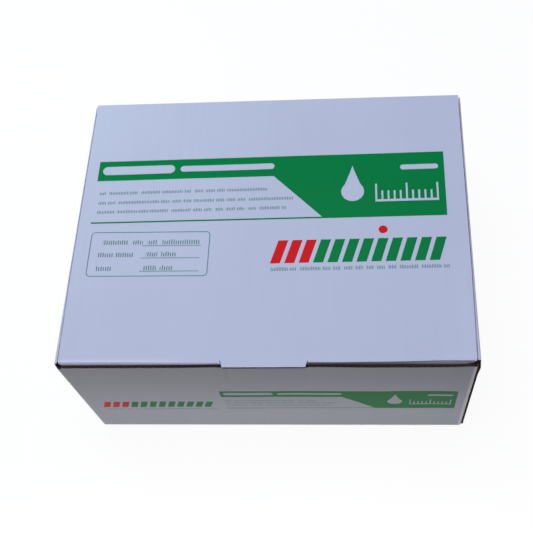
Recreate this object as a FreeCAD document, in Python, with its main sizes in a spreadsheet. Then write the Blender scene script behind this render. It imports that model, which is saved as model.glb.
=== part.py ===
import FreeCAD, Part

import math
import os

import Sketcher

# A roll-end, tuck-front carton folded from one die-cut sheet of fine-fluted board.
# Millimetres. The origin is at the middle of the footprint, on the surface it stands on:
# +X runs along the length, -Y is the front, and +Z is up.
# The sheet is one piece. Its lid turns at the rear top crease, so it is a solid of its own.

SIZES = {
    # the closed carton, outside
    "overall_length": 200.0,
    "overall_depth": 156.0,
    "overall_height": 89.0,
    "board": 1.5,               # thickness of the fluted board
    "fold_radius": 1.6,         # rounding of the liner over a fold
    "layer_gap": 0.25,          # air between the layers of a side wall
    # the rolled side walls
    "left_edge_setback": 2.9,   # the outer left panel ends this far behind the front face
    "edge_setback": 0.5,        # the other three ends of the outer side panels
    "rim_setback": 3.0,         # the rolled rim ends this far from the front and back faces
    "inner_end_slope": 6.0,     # lean of the inner side panels' ends, from rim to foot
    # flaps of the front and back panels, held between the layers of the side walls
    "flap_reach": 62.0,
    "flap_relief": 1.0,         # how much lower than its panel a flap is cut, top and bottom
    "flap_slope": 5.0,          # the flap's free end is this much lower at each corner
    # tongues at the foot of the inner side panels, and their slots in the bottom
    "tongue_width": 24.0,
    "tongue_spacing": 76.0,     # from the middle of one tongue to the middle of the other
    "tongue_taper": 1.2,        # the tip is this much narrower at each side
    "tongue_recess": 0.2,       # the tip stops this far inside the bottom's outer face
    "slot_clearance": 0.4,
    # the lid
    "lid_inset_front": 1.4,     # side edge of the lid inside the carton's side, at the front
    "lid_inset_rear": 0.6,
    "lid_corner": 1.5,          # rounding of the lid's free front corners
    "crease_land": 0.3,         # flat left of the lid's rear edge, under its rounded liner
    "lid_front_gap": 0.4,       # between the front panel and the lid's front fold
    "tuck_depth": 28.0,
    "tuck_side_gap": 0.5,       # between the tuck flap and an inner side panel
    "tuck_taper": 2.0,          # the flap is this much narrower at each end of its tip
    "tuck_corner": 9.0,         # rounding of the tuck flap's lower corners
    "swing_clearance": 0.3,     # between the tuck flap's tip and the front panel as it opens
    # the tab that stays in the plane of the lid and covers the middle of the front edge
    "tab_root": 41.0,
    "tab_tip": 39.0,
    "tab_overhang": 0.3,
}

doc = FreeCAD.newDocument("Carton")
sheet = doc.addObject("Spreadsheet::Sheet", "Sizes")
for row, (alias, value) in enumerate(SIZES.items(), start=1):
    sheet.set(f"A{row}", alias)
    sheet.set(f"B{row}", str(value))
    sheet.setAlias(f"B{row}", alias)
doc.recompute()


def size(alias):
    """Return the expression that reads one cell of the sheet."""
    return f"Sizes.{alias}"


BOARD = size("board")
GAP = size("layer_gap")
RADIUS = size("fold_radius")
TOP = size("overall_height")
HALF_LENGTH = f"({size('overall_length')} / 2)"
HALF_DEPTH = f"({size('overall_depth')} / 2)"
FRONT = f"(-1 * {HALF_DEPTH})"

# Heights of the rolled rim, on which the lid lies.
RIM_TOP = f"({TOP} - {BOARD})"
RIM_UNDERSIDE = f"({TOP} - 2 * {BOARD})"
ABOVE = f"({TOP} + {BOARD})"

# Half-lengths, from the outer side panel inwards: the corner flap, then the inner side panel.
FLAP_OUTSIDE = f"({HALF_LENGTH} - {BOARD} - {GAP})"
FLAP_INSIDE = f"({FLAP_OUTSIDE} - {BOARD})"
INNER_OUTSIDE = f"({FLAP_INSIDE} - {GAP})"
INNER_INSIDE = f"({INNER_OUTSIDE} - {BOARD})"


def corner_points(before, corner, after, radius):
    """Return the start, middle and end of the arc that rounds one corner of an outline."""
    to_before = (before - corner).normalize()
    to_after = (after - corner).normalize()
    half_turn = to_before.getAngle(to_after) / 2
    reach = radius / math.tan(half_turn)
    bisector = (to_before + to_after).normalize()
    middle = corner + bisector * (radius / math.sin(half_turn) - radius)
    return corner + to_before * reach, middle, corner + to_after * reach


def fix_point(sketch, geometry, expressions, place):
    """Hold the first point of a piece of a sketch at the place that two expressions give."""
    for kind, expression, value in zip(("DistanceX", "DistanceY"), expressions, place):
        index = sketch.addConstraint(Sketcher.Constraint(kind, -1, 1, geometry, 1, value))
        sketch.setExpression(f"Constraints[{index}]", expression)


def round_corner(sketch, incoming, outgoing, bend, radius):
    """Join two sides of an outline with a tangent arc, which a sketch holds anticlockwise."""
    start, middle, end = bend
    clockwise = (middle - start).cross(end - middle).z < 0
    first, last = (2, 1) if clockwise else (1, 2)
    arc = sketch.addGeometry(
        Part.Arc(end, middle, start) if clockwise else Part.Arc(start, middle, end), False)
    sketch.addConstraint(Sketcher.Constraint("Tangent", incoming, 2, arc, first))
    sketch.addConstraint(Sketcher.Constraint("Tangent", outgoing, 1, arc, last))
    index = sketch.addConstraint(
        Sketcher.Constraint("Radius", arc, sketch.evalExpression(radius)))
    sketch.setExpression(f"Constraints[{index}]", radius)


def draw_outline(sketch, corners):
    """Draw a closed outline from corners (across, up) or, where rounded, (across, up, radius)."""
    points = [FreeCAD.Vector(sketch.evalExpression(corner[0]),
                             sketch.evalExpression(corner[1]), 0) for corner in corners]
    bends = []
    for here, corner in enumerate(corners):
        bend = (points[here], points[here], points[here])
        if len(corner) == 3:
            bend = corner_points(points[here - 1], points[here],
                                 points[(here + 1) % len(points)],
                                 sketch.evalExpression(corner[2]))
        bends.append(bend)

    sides = [sketch.addGeometry(
        Part.LineSegment(bends[here][2], bends[(here + 1) % len(bends)][0]), False)
        for here in range(len(bends))]

    for here, corner in enumerate(corners):
        incoming, outgoing = sides[here - 1], sides[here]
        place = (points[here].x, points[here].y)
        if len(corner) == 2:
            sketch.addConstraint(Sketcher.Constraint("Coincident", incoming, 2, outgoing, 1))
            fix_point(sketch, outgoing, corner[:2], place)
            continue
        # The sides of a rounded corner still aim at its sharp point.
        sharp = sketch.addGeometry(Part.Point(points[here]), True)
        fix_point(sketch, sharp, corner[:2], place)
        for side in (incoming, outgoing):
            sketch.addConstraint(Sketcher.Constraint("PointOnObject", sharp, 1, side))
        round_corner(sketch, incoming, outgoing, bends[here], corner[2])


def draw_sketch(body, name, plane, outlines, offset="0"):
    """Make a sketch of closed outlines on an origin plane of the body, or parallel to it."""
    sketch = body.newObject("Sketcher::SketchObject", name)
    origin_plane = next(item for item in body.Origin.OriginFeatures if item.Role == plane)
    sketch.AttachmentSupport = (origin_plane, [""])
    sketch.MapMode = "FlatFace"
    sketch.setExpression("AttachmentOffset.Base.z", offset)
    for corners in outlines:
        draw_outline(sketch, corners)
    doc.recompute()
    return sketch


def extrude(body, kind, name, sketch, length, both_ways=False, backwards=False):
    """Pad or pocket a sketch by a length, to one side or evenly to both."""
    feature = body.newObject(f"PartDesign::{kind}", name)
    feature.Profile = sketch
    feature.SideType = "Symmetric" if both_ways else "One side"
    feature.Reversed = backwards
    feature.setExpression("Length", length)
    doc.recompute()
    before = feature.BaseFeature.Shape.Volume if feature.BaseFeature else 0
    if abs(feature.Shape.Volume - before) < 0.01:
        raise RuntimeError(f"{name} changed nothing")
    return feature


def mirror_across(body, name, features):
    """Repeat features of the right side on the left."""
    mirrored = body.newObject("PartDesign::Mirrored", name)
    mirrored.Originals = features
    middle = next(item for item in body.Origin.OriginFeatures if item.Role == "YZ_Plane")
    mirrored.MirrorPlane = (middle, [""])
    body.Tip = mirrored
    doc.recompute()
    return mirrored


def opposite(outline, axis=0):
    """Return an outline with one coordinate's sign changed, still going round in order."""
    turned = []
    for corner in reversed(outline):
        changed = list(corner)
        changed[axis] = f"-1 * ({corner[axis]})"
        turned.append(tuple(changed))
    return turned


def roll_side_walls(body):
    """Fold the bottom with its two double side walls, whose outer and inner panels meet in a rim."""
    foot = f"({BOARD} + {GAP})"
    outer_inside = f"({HALF_LENGTH} - {BOARD})"
    half = [
        (HALF_LENGTH, "0", RADIUS),
        (HALF_LENGTH, RIM_TOP, RADIUS),
        (INNER_INSIDE, RIM_TOP, RADIUS),
        (INNER_INSIDE, foot),
        (INNER_OUTSIDE, foot),
        (INNER_OUTSIDE, RIM_UNDERSIDE),
        (outer_inside, RIM_UNDERSIDE),
        (outer_inside, BOARD),
    ]
    section = draw_sketch(body, "RolledSection", "XZ_Plane", [half + opposite(half)])
    extrude(body, "Pad", "RolledSides", section,
            f"2 * ({HALF_DEPTH} - {size('edge_setback')})", both_ways=True)


def trim_side_walls(body):
    """Cut back the ends of the rims and inner panels, and the front edge of the left wall."""
    rim_end = f"({FRONT} + {size('rim_setback')})"
    clear_of_bottom = f"({BOARD} + {GAP} / 2)"
    inner_end = [
        (FRONT, clear_of_bottom),
        (f"{rim_end} + {size('inner_end_slope')}", clear_of_bottom),
        (rim_end, RIM_UNDERSIDE),
        (rim_end, ABOVE),
        (FRONT, ABOVE),
    ]
    ends = draw_sketch(body, "InnerEnds", "YZ_Plane", [inner_end, opposite(inner_end)])
    extrude(body, "Pocket", "InnerEndCuts", ends,
            f"2 * ({HALF_LENGTH} - {BOARD} - {GAP} / 2)", both_ways=True)

    rim_relief = [(FRONT, RIM_UNDERSIDE), (rim_end, RIM_UNDERSIDE), (rim_end, ABOVE), (FRONT, ABOVE)]
    reliefs = draw_sketch(body, "RimReliefs", "YZ_Plane", [rim_relief, opposite(rim_relief)])
    extrude(body, "Pocket", "RimReliefCuts", reliefs, f"2 * {HALF_LENGTH}", both_ways=True)

    left_inside = f"-1 * ({HALF_LENGTH} - {BOARD} - {GAP} / 2)"
    left_outside = f"-1 * ({HALF_LENGTH} + {BOARD})"
    left_edge = f"{FRONT} + {size('left_edge_setback')}"
    trim = [(left_outside, FRONT), (left_inside, FRONT),
            (left_inside, left_edge), (left_outside, left_edge)]
    left = draw_sketch(body, "LeftEdge", "XY_Plane", [trim])
    extrude(body, "Pocket", "LeftEdgeCut", left, TOP, backwards=True)


def wrap_front_to_back(body):
    """Fold the front panel, bottom and back panel, up to the raw front edge and the crease."""
    inside = f"({HALF_DEPTH} - {BOARD})"
    half = [
        (HALF_DEPTH, "0", RADIUS),
        (HALF_DEPTH, RIM_TOP),
        (inside, RIM_TOP),
        (inside, BOARD),
    ]
    section = draw_sketch(body, "FrontToBackSection", "YZ_Plane", [half + opposite(half)])
    extrude(body, "Pad", "FrontToBack", section,
            f"2 * ({FLAP_OUTSIDE} - {RADIUS})", both_ways=True)


def turn_corners(body):
    """Turn the front and back panels round the right corners into the flaps in the side wall."""
    flap_bottom = f"({BOARD} + {size('flap_relief')})"
    flap_top = f"({RIM_UNDERSIDE} - {size('flap_relief')})"
    past_fold = f"({FRONT} + 2 * {RADIUS})"
    before_fold = f"({FLAP_OUTSIDE} - 2 * {RADIUS})"
    bend = [
        (FLAP_OUTSIDE, FRONT, RADIUS),
        (FLAP_OUTSIDE, past_fold),
        (FLAP_INSIDE, past_fold),
        (FLAP_INSIDE, f"{FRONT} + {BOARD}"),
        (before_fold, f"{FRONT} + {BOARD}"),
        (before_fold, FRONT),
    ]
    bends = draw_sketch(body, "CornerBends", "XY_Plane", [bend, opposite(bend, axis=1)],
                        offset=flap_bottom)
    folds = extrude(body, "Pad", "CornerFolds", bends, f"{flap_top} - {flap_bottom}")

    flap_end = f"({FRONT} + {size('flap_reach')})"
    flap = [
        (f"{FRONT} + {RADIUS}", flap_bottom),
        (flap_end, f"{flap_bottom} + {size('flap_slope')}"),
        (flap_end, f"{flap_top} - {size('flap_slope')}"),
        (f"{FRONT} + {RADIUS}", flap_top),
    ]
    panels = draw_sketch(body, "CornerFlapOutlines", "YZ_Plane", [flap, opposite(flap)],
                         offset=FLAP_INSIDE)
    flaps = extrude(body, "Pad", "CornerFlaps", panels, BOARD)
    return [folds, flaps]


def lock_inner_panel(body):
    """Stand the right inner panel's tongues in their slots in the bottom."""
    middle = f"({size('tongue_spacing')} / 2)"
    half_width = f"({size('tongue_width')} / 2)"
    clearance = size("slot_clearance")
    left, right = f"{INNER_INSIDE} - {clearance}", f"{INNER_OUTSIDE} + {clearance}"
    near, far = f"{middle} - {half_width} - {clearance}", f"{middle} + {half_width} + {clearance}"
    slot = [(left, near), (right, near), (right, far), (left, far)]
    slots = draw_sketch(body, "SlotOutlines", "XY_Plane", [slot, opposite(slot, axis=1)])
    cuts = extrude(body, "Pocket", "Slots", slots, BOARD, backwards=True)

    tip = size("tongue_recess")
    root = f"({BOARD} + 2 * {GAP})"
    tip_half_width = f"({half_width} - {size('tongue_taper')})"
    tongue = [
        (f"{middle} - {tip_half_width}", tip),
        (f"{middle} + {tip_half_width}", tip),
        (f"{middle} + {half_width}", root),
        (f"{middle} - {half_width}", root),
    ]
    tongues = draw_sketch(body, "TongueOutlines", "YZ_Plane", [tongue, opposite(tongue)],
                          offset=INNER_INSIDE)
    pads = extrude(body, "Pad", "Tongues", tongues, BOARD)
    return [cuts, pads]


def make_tray():
    """Make the carton below its lid: the bottom, the four walls and all that locks them."""
    body = doc.addObject("PartDesign::Body", "Tray")
    body.Label = "carton_tray"
    roll_side_walls(body)
    trim_side_walls(body)
    wrap_front_to_back(body)
    right_side = turn_corners(body) + lock_inner_panel(body)
    mirror_across(body, "LeftSide", right_side)
    return body


# The lid's front fold drops behind the front panel, and the tuck flap hangs from it.
LID_FRONT = f"({FRONT} + {BOARD} + {size('lid_front_gap')})"
BEHIND_FOLD = f"({LID_FRONT} + 2 * {RADIUS})"
TUCK_HALF = f"({INNER_INSIDE} - {size('tuck_side_gap')})"
TUCK_TIP = f"({TOP} - {size('tuck_depth')})"


def lay_lid_panel(body):
    """Lay the lid panel on the rims, with its tab and its two free front corners."""
    tab_half_tip = f"({size('tab_tip')} / 2)"
    tab_half_root = f"({size('tab_root')} / 2)"
    half = [
        (tab_half_tip, f"{FRONT} - {size('tab_overhang')}"),
        (tab_half_root, BEHIND_FOLD),
        (TUCK_HALF, BEHIND_FOLD),
        (TUCK_HALF, LID_FRONT),
        (f"{HALF_LENGTH} - {size('lid_inset_front')}", LID_FRONT, size("lid_corner")),
        (f"{HALF_LENGTH} - {size('lid_inset_rear')}", HALF_DEPTH),
    ]
    outline = draw_sketch(body, "LidOutline", "XY_Plane", [half + opposite(half)],
                          offset=RIM_TOP)
    extrude(body, "Pad", "LidPanel", outline, BOARD)


def hang_tuck_flap(body):
    """Fold the tuck flap down, leaning back so that its tip clears the front panel's top edge."""
    reach = f"({size('overall_depth')} - {BOARD} - {size('swing_clearance')})"
    drop = f"({size('tuck_depth')} - {BOARD})"
    tip_front = f"({HALF_DEPTH} - sqrt({reach} ^ 2 - {drop} ^ 2))"
    section = draw_sketch(body, "TuckSection", "YZ_Plane", [[
        (LID_FRONT, TOP, RADIUS),
        (tip_front, TUCK_TIP),
        (f"{tip_front} + {BOARD}", TUCK_TIP),
        (f"{LID_FRONT} + {BOARD}", RIM_TOP),
        (f"{BEHIND_FOLD} + {BOARD}", RIM_TOP),
        (f"{BEHIND_FOLD} + {BOARD}", TOP),
    ]])
    extrude(body, "Pad", "TuckFlap", section, f"2 * {TUCK_HALF}", both_ways=True)


def trim_lid(body):
    """Round the rear crease, shape the tuck flap's ends and open its notch under the tab."""
    land_top = f"({RIM_TOP} + {size('crease_land')})"
    past_rear = f"({HALF_DEPTH} + {BOARD})"
    crease = [
        (HALF_DEPTH, TOP, f"{TOP} - {land_top}"),
        (HALF_DEPTH, RIM_TOP),
        (past_rear, RIM_TOP),
        (past_rear, ABOVE),
        (f"{HALF_DEPTH} - 2 * {BOARD}", ABOVE),
        (f"{HALF_DEPTH} - 2 * {BOARD}", TOP),
    ]
    rounding = draw_sketch(body, "CreaseRounding", "YZ_Plane", [crease])
    extrude(body, "Pocket", "CreaseRoundingCut", rounding,
            f"2 * {HALF_LENGTH}", both_ways=True)

    corner = size("tuck_corner")
    narrow = f"({TUCK_HALF} - {size('tuck_taper')})"
    past_end = f"({TUCK_HALF} + {BOARD})"
    below = f"({TUCK_TIP} - {BOARD})"
    end = [
        (TUCK_HALF, RIM_UNDERSIDE),
        (narrow, TUCK_TIP, corner),
        (f"{narrow} - 2 * {corner}", TUCK_TIP),
        (f"{narrow} - 2 * {corner}", below),
        (past_end, below),
        (past_end, RIM_UNDERSIDE),
    ]
    ends = draw_sketch(body, "TuckEnds", "XZ_Plane", [end, opposite(end)])
    extrude(body, "Pocket", "TuckEndCuts", ends, size("overall_depth"), both_ways=True)

    tab_length = f"({BOARD} + {size('lid_front_gap')} + {size('tab_overhang')})"
    half_notch = [
        (f"{size('tab_root')} / 2", RIM_TOP),
        (f"{size('tab_tip')} / 2", f"{RIM_TOP} - {tab_length}"),
    ]
    notch = draw_sketch(body, "TabNotch", "XZ_Plane", [half_notch + opposite(half_notch)])
    extrude(body, "Pocket", "TabNotchCut", notch, size("overall_depth"), both_ways=True)


def make_lid():
    """Make the lid with its tuck flap and the tab that covers the middle of the front edge."""
    body = doc.addObject("PartDesign::Body", "Lid")
    body.Label = "carton_lid"
    lay_lid_panel(body)
    hang_tuck_flap(body)
    trim_lid(body)
    return body


def check_document():
    """Stop if any object of the document failed to build."""
    for item in doc.Objects:
        if {"Invalid", "Error"} & set(item.State):
            raise RuntimeError(f"{item.Name} did not build: {item.State}")


def export(pieces):
    """Write each piece to its own file, once it is known to be one sound solid."""
    for piece in pieces:
        shape = piece.Shape
        if shape.isNull() or not shape.isValid() or len(shape.Solids) != 1:
            raise RuntimeError(f"{piece.Label} is not one sound solid")
        print(piece.Label, round(shape.Volume / 1000, 3), "cm3,", len(shape.Faces), "faces")
    os.makedirs("parts", exist_ok=True)
    for piece in pieces:
        piece.Shape.exportStep(f"parts/{piece.Label}.step")


carton = [make_tray(), make_lid()]
doc.recompute()
check_document()
export(carton)
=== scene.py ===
import math

import bmesh
import bpy
from mathutils import Matrix, Vector, noise


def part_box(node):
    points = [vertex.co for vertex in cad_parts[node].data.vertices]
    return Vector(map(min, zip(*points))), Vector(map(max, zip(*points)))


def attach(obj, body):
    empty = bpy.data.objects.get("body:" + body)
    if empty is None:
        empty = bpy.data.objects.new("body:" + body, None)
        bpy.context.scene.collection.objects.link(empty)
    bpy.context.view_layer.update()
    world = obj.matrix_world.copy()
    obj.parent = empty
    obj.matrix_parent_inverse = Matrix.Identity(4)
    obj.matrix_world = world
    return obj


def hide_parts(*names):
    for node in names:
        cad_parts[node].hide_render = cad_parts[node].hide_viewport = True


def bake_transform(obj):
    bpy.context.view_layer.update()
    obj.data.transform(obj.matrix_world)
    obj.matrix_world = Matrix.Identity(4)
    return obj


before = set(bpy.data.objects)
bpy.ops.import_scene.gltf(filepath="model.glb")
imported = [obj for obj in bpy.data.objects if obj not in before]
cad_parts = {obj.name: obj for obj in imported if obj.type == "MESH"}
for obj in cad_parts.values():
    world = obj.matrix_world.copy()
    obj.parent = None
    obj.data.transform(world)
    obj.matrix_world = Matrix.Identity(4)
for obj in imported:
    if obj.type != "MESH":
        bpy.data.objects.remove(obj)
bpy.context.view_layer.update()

# A corrugated carton in real millimetres, as its maker would cut and crease it.
# X runs along the length, -Y is the front, Z is up, and the origin is under the middle.
MM = 0.001
TRAY_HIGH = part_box("carton_tray")[1] / MM
LID_LOW, LID_HIGH = (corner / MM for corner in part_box("carton_lid"))
HALF_LENGTH = TRAY_HIGH.x
HALF_DEPTH = TRAY_HIGH.y
RIM_TOP = TRAY_HIGH.z
TOP = LID_HIGH.z
TAB_TIP_Y = LID_LOW.y

# Through the board, from its white face inwards.
BOARD = TOP - RIM_TOP
WHITE_LINER = 0.28
BROWN_LINER = 0.25
FLUTING_PAPER = 0.18
FLUTE_PITCH = 3.4
FLUTE_STEPS = 8
FLUTE_RECESS = 0.6
TOP_FLUTE_RECESS = 1.7  # under the front panel's raw top edge
FOLD_RADIUS = 1.6
FOOT_RADIUS = 3.0       # of the front panel's foot
RIM_RADIUS = 0.8        # of the rim's outer shoulder
CRUSHED = 1.4           # how far the flutes are crushed on each side of a fold
CORE_INSET = 0.2        # of the crushed flutes inside the liners' edges
CORE_END_INSET = 0.3    # of their ends

# The divisions of the meshes.
GRID = 5.0
FINE_GRID = 0.2
BEND_STEPS = 8
DENT_GRID = tuple(16 + 0.65 * step for step in range(9))  # from the front panel's middle
FLAP_FOOT_GRID = (0.9, 1.4, 2.0)        # from the bottom
SIDE_END_GRID = (0.8, 1.6, 2.4, 3.2)    # from the side walls' front ends
LID_SIDE_GRID = (0.3, 0.7, 1.1, 1.6)    # from the lid's sides
LID_REAR_GRID = (0.7, 1.4)              # from the rear crease
LID_FOLD_GRID = (0.4, 0.8, 1.2, 1.6, 2.2, 3, 4, 5.5, 7.5, 10)  # from the lid's front fold

# Side walls, from the outer panel inwards.
LAYER_GAP = 0.25
FLAP_OUTSIDE = HALF_LENGTH - BOARD - LAYER_GAP
PANEL_HALF = FLAP_OUTSIDE - FOLD_RADIUS
INNER_INSIDE = HALF_LENGTH - 3 * BOARD - 2 * LAYER_GAP
INNER_FOOT = BOARD + LAYER_GAP
OUTER_END = HALF_DEPTH - 0.5
LEFT_FRONT_END = HALF_DEPTH - 1.6
RIM_REAR_END = HALF_DEPTH - 2.8
LEFT_RIM_END = HALF_DEPTH - 2.0
RIGHT_RIM_END = HALF_DEPTH - 2.8
RIM_SET_BACK = 1.2      # of the rim's flat part behind the end of its shoulder
SHOULDER_REAR_END = HALF_DEPTH - 2.6
INNER_FOOT_END = HALF_DEPTH - 9.0
TONGUE_MIDDLE, TONGUE_HALF, TONGUE_TAPER = 38.0, 12.0, 1.2
TONGUE_TIP = 0.2
SLOT_CLEARANCE = 0.4
END_CRUSH = 0.35        # how much thinner the outer side panels are at their front ends
END_DIP = 0.5           # how far they lean in there
END_LENGTH = 4.0        # how far back that reaches
BOTTOM_SET_BACK = 1.6   # of the side walls' ends at the bottom panel
FRONT_FOOT_SET_BACK, REAR_FOOT_SET_BACK = 1.2, 0.9  # and where their foot starts to bend
FRONT_FOOT_CUT = ((0.0, 0.9), (0.8, 0.2), (1.6, 0.0))  # heights over the foot and set-backs
SHOULDER_CUT_LOW, SHOULDER_CUT_HIGH = 2.4, 1.8  # where the front end meets the shoulder
SHOULDER = 1.0          # how far the rolled rim's shoulder stands above the rim
SHOULDER_WIDTH = 0.4
SHOULDER_FOOT = 70.0    # the height from which the side wall starts to rise to it
SHOULDER_START, SHOULDER_FULL = 0.15, 0.6  # outside the lid's edge

# The corner flaps, and the upright folds that join them to the front and back panels.
FLAP_REACH, FLAP_RELIEF, FLAP_SLOPE = 62.0, 1.0, 5.0
FLAP_FOOT = (0.5, 0.7, 1.3)     # the lower edge at the panel, and at the fold's start and middle
FLAP_HEAD = (0.8, 0.6, 0.0)     # the upper edge there, over the fold's shoulder
SWELL_LENGTH, SWELL_EASE = 0.3, 1.2
SWELL_RADIUS = 0.2
# Each has a side, 1 for right, an end, 1 for front, its fold's swelling past the flap, its
# shoulder's rise over the flap and its white face.
CORNERS = (
    ("front_right", 1, 1, 0.6, 1.4, "stretched_board"),
    ("rear_right", 1, -1, 0.25, 0.4, "white_board"),
    ("front_left", -1, 1, 1.25, 0.4, "white_board"),
    ("rear_left", -1, -1, 0.25, 0.4, "white_board"),
)

# The front panel's wear.
DENTS = ((-17.1, -19.2), (20.1, 19.2))  # x of two short dents beside the tab, at top and foot
DENT_FOOT, DENT_RISE = 69.0, 14.6
DENT_DEPTH, DENT_WIDTH = 0.5, 0.9
RIGHT_TOP_CUT, LEFT_TOP_CUT = 0.9, 0.5  # how far the raw top edge falls beside the tab

# The lid, its tab and its tuck flap.
CREASE_REACH = 2.8      # of the rear crease, along the lid and down the back panel
CREASE_FOOT = TOP - CREASE_REACH
CREASE_TAPER = 0.6
LID_REAR = HALF_DEPTH - CREASE_REACH
LID_FRONT = -HALF_DEPTH + BOARD + 0.4
LID_HALF_FRONT = HALF_LENGTH - 1.9
LID_HALF_REAR = HALF_LENGTH - 1.2
LID_TAPER = 48.0        # how far back from its fold the lid narrows towards its front
LID_CORNER = 2.6
LID_REAR_CORNER = 3.0
LID_HELD, LID_FREE = 97.0, 90.0  # x where the lid's soft waves start and are full
SOFT_FOLD_RADIUS = 1.6  # of the lid's front fold at its left end, where it bulges over the panel
CRISP_FOLD_RADIUS = 0.4
FOLD_BULGE = 1.9
FOLD_PINCH = 0.6        # how far the fold stands back at its right end
FOLD_CROWN = 0.45       # how far the lid curves down to the soft end of its fold
CROWN_LENGTH = 4.5
FOLD_CRUSH = 0.7        # how much thinner the board is in that fold
PRESSED_BACK, PRESSED_WIDTH = 3.2, 3.4  # of a dip pressed in behind the crisp part of the fold
FLAP_BEND_DROP, FLAP_BEND_RADIUS = 1.2, 0.5  # where the tuck flap turns under the rim
REAR_FOLD_RADIUS = 0.5
REAR_CREASE_HALF = HALF_LENGTH - 0.8
LID_CRUSHED = 8.0       # how far the flutes are crushed behind the lid's front fold
TUCK_HALF = INNER_INSIDE - 0.5
TUCK_TIP_Y, TUCK_TIP_Z = -73.9, TOP - 28.0
TUCK_TAPER, TUCK_CORNER = 2.0, 9.0
TAB_HALF_ROOT, TAB_HALF_TIP = 20.5, 19.5
TAB_DROOP = 0.4
TAB_FLATNESS = 0.8      # how much less the tab's tip waves than the lid
KNIFE = 0.3             # width of a die cut
FREE_CORNER = 2.5       # how far the lid's free front corners follow the fold


class Fold:
    """The line of the white face across a strip's creases: runs joined by round bends."""

    def __init__(self, corners, radii):
        points = [Vector(corner) for corner in corners]
        self.pieces = []
        self.marks = [0.0]
        start = points[0]
        ahead = (points[1] - start).normalized()
        for here, radius in enumerate(radii, 1):
            onward = (points[here + 1] - points[here]).normalized()
            turn = -ahead.angle_signed(onward)
            reach = radius * math.tan(abs(turn) / 2)
            end = points[here] - ahead * reach
            self.add_piece(start, ahead, (end - start).length)
            self.add_piece(end, ahead, abs(turn) * radius, turn, radius)
            start = points[here] + onward * reach
            ahead = onward
        self.add_piece(start, ahead, (points[-1] - start).length)

    def add_piece(self, start, ahead, length, turn=0.0, radius=0.0):
        """Add a straight run, or a bend if it turns."""
        self.pieces.append((start, ahead, turn, radius))
        self.marks.append(self.marks[-1] + length)

    def at(self, distance):
        """Return the point of the white face and its outward direction."""
        index = 0
        while index < len(self.pieces) - 1 and distance > self.marks[index + 1]:
            index += 1
        start, ahead, turn, radius = self.pieces[index]
        along = distance - self.marks[index]
        if turn == 0:
            return start + ahead * along, turned(ahead, -math.pi / 2)
        side = math.copysign(1, turn)
        centre = start + turned(ahead, side * math.pi / 2) * radius
        angle = side * along / radius
        outward = turned(turned(ahead, angle), -math.pi / 2)
        return centre + turned(start - centre, angle), outward

    def bends(self):
        """Return the distances at which each bend starts and ends."""
        return [(self.marks[index], self.marks[index + 1])
                for index, (_, _, turn, _) in enumerate(self.pieces) if turn != 0]


def turned(vector, angle):
    """Return a flat vector turned anticlockwise."""
    cosine, sine = math.cos(angle), math.sin(angle)
    return Vector((vector.x * cosine - vector.y * sine, vector.x * sine + vector.y * cosine))


def rounded(before, corner, after, radius, steps=5):
    """Return the points of an arc that rounds one corner of an outline."""
    corner = Vector(corner)
    back = (Vector(before) - corner).normalized()
    onward = (Vector(after) - corner).normalized()
    half_turn = back.angle(onward) / 2
    reach = radius / math.tan(half_turn)
    centre = corner + (back + onward).normalized() * (radius / math.sin(half_turn))
    first = corner + back * reach - centre
    last = corner + onward * reach - centre
    sweep = -first.angle_signed(last)
    return [tuple(centre + turned(first, sweep * step / steps)) for step in range(steps + 1)]


def even_steps(low, high, step):
    """Return evenly spaced places between two ends, both left out."""
    count = max(1, round((high - low) / step))
    return [low + (high - low) * index / count for index in range(1, count)]


def grid_lines(fold, length):
    """Return where a strip is divided along its fold: finely in the bends."""
    lines = []
    start = 0.0
    for bend_start, bend_end in fold.bends() + [(length, length)]:
        lines += even_steps(start, bend_start, GRID) + [bend_start]
        if bend_end > bend_start:
            step = (bend_end - bend_start) / BEND_STEPS
            lines += even_steps(bend_start, bend_end, step) + [bend_end]
        start = bend_end
    return lines


def rectangle(near, far, low, high):
    """Return the corners between two distances along the fold and two across it."""
    return [(near, low), (far, low), (far, high), (near, high)]


def mirrored(half):
    """Return an outline made of one half and its mirror image."""
    return half + [(a, -b) for a, b in reversed(half)]


def cut_out(outline, along_lines, across_lines, windows=()):
    """Return an outline divided into a grid: its points, its faces and its border's edges.

    Each window is an outline that is cut out, and the part of it that stays, or None.
    """
    flat = bmesh.new()
    flat.faces.new([flat.verts.new((a, b, 0)) for a, b in outline])
    cuts = [((a, 0, 0), (1, 0, 0)) for a in along_lines]
    cuts += [((0, b, 0), (0, 1, 0)) for b in across_lines]
    for window, _ in windows:
        for here, corner in enumerate(window):
            side = Vector(window[here - 1]) - Vector(corner)
            cuts.append(((*corner, 0), (-side.y, side.x, 0)))
    for place, direction in cuts:
        everything = flat.verts[:] + flat.edges[:] + flat.faces[:]
        bmesh.ops.bisect_plane(flat, geom=everything, dist=1e-5, plane_co=place, plane_no=direction)
    gone = []
    for face in flat.faces:
        centre = face.calc_center_median().xy
        if any(within(centre, window) and not (kept and within(centre, kept))
               for window, kept in windows):
            gone.append(face)
    bmesh.ops.delete(flat, geom=gone, context="FACES")
    flat.verts.index_update()
    points = [tuple(vertex.co.xy) for vertex in flat.verts]
    faces = [[vertex.index for vertex in face.verts] for face in flat.faces]
    border = [[vertex.index for vertex in edge.verts] for edge in flat.edges if edge.is_boundary]
    flat.free()
    return points, faces, border


def within(point, outline):
    """Tell whether a point lies inside a convex outline."""
    sides = []
    for here, corner in enumerate(outline):
        edge = Vector(corner) - Vector(outline[here - 1])
        offset = Vector(point) - Vector(outline[here - 1])
        sides.append(edge.x * offset.y - edge.y * offset.x)
    return all(side >= -1e-6 for side in sides) or all(side <= 1e-6 for side in sides)


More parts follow.
